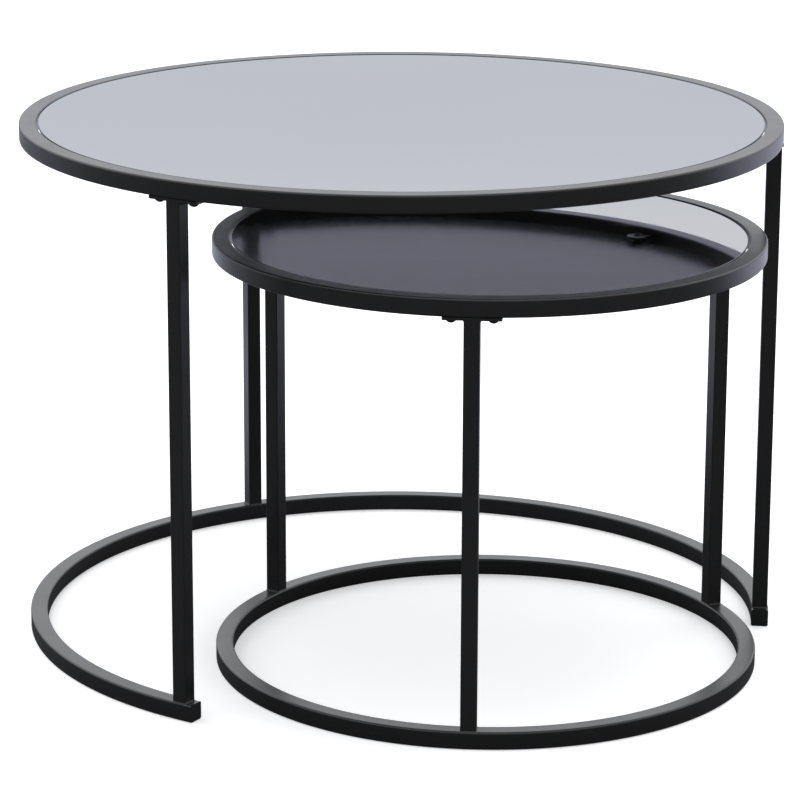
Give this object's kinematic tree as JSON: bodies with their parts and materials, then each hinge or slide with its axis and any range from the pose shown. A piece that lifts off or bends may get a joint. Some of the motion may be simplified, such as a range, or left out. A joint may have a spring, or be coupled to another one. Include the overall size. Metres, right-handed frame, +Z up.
{
  "type": "nesting tables",
  "caption": "Round nesting tables in slim black square steel tube with inset smoked mirror tops; the small one slides in through the large one's open base ring.",
  "frame": {"origin": "on the floor, at the middle of the pair's plan in the pose shown, with the small table partly drawn out", "axes": "+Z up; -Y towards the front, where the small table comes out; +X to the right seen from the front"},
  "size_m": [0.7003, 0.7122, 0.482],
  "materials": {
    "frame_black": "satin black powder coat",
    "mirror_glass": "smoked grey mirror",
    "bumper_rubber": "matt",
    "nut_steel": "zinc plated",
    "screw_black": "black oxide"
  },
  "bodies": {
    "large_table": {"large_top_ring": "frame_black", "large_glass": "mirror_glass", "large_glass_tabs": "frame_black", "large_tab_bumpers": "bumper_rubber", "large_tab_screws": "screw_black", "large_leg_plate_front_left": "frame_black", "large_leg_plate_front_right": "frame_black", "large_leg_plate_back": "frame_black", "large_leg_front_left": "frame_black", "large_leg_front_right": "frame_black", "large_leg_back": "frame_black", "large_plate_screws": "screw_black", "large_rivet_nuts": "nut_steel", "large_base_ring": "frame_black", "large_base_cap_left": "frame_black", "large_base_cap_right": "frame_black"},
    "small_table": {"small_top_ring": "frame_black", "small_glass": "mirror_glass", "small_glass_tabs": "frame_black", "small_tab_bumpers": "bumper_rubber", "small_tab_screws": "screw_black", "small_leg_plate_front": "frame_black", "small_leg_plate_back_right": "frame_black", "small_leg_plate_back_left": "frame_black", "small_leg_front": "frame_black", "small_leg_back_right": "frame_black", "small_leg_back_left": "frame_black", "small_plate_screws": "screw_black", "small_rivet_nuts": "nut_steel", "small_base_ring": "frame_black"}
  },
  "joints": [
    {"name": "small_table_slide", "type": "slide", "parent": "large_table", "child": "small_table", "axis": [0.4462, -0.8949, 0], "range_m": [-0.218, 0.48]}
  ]
}
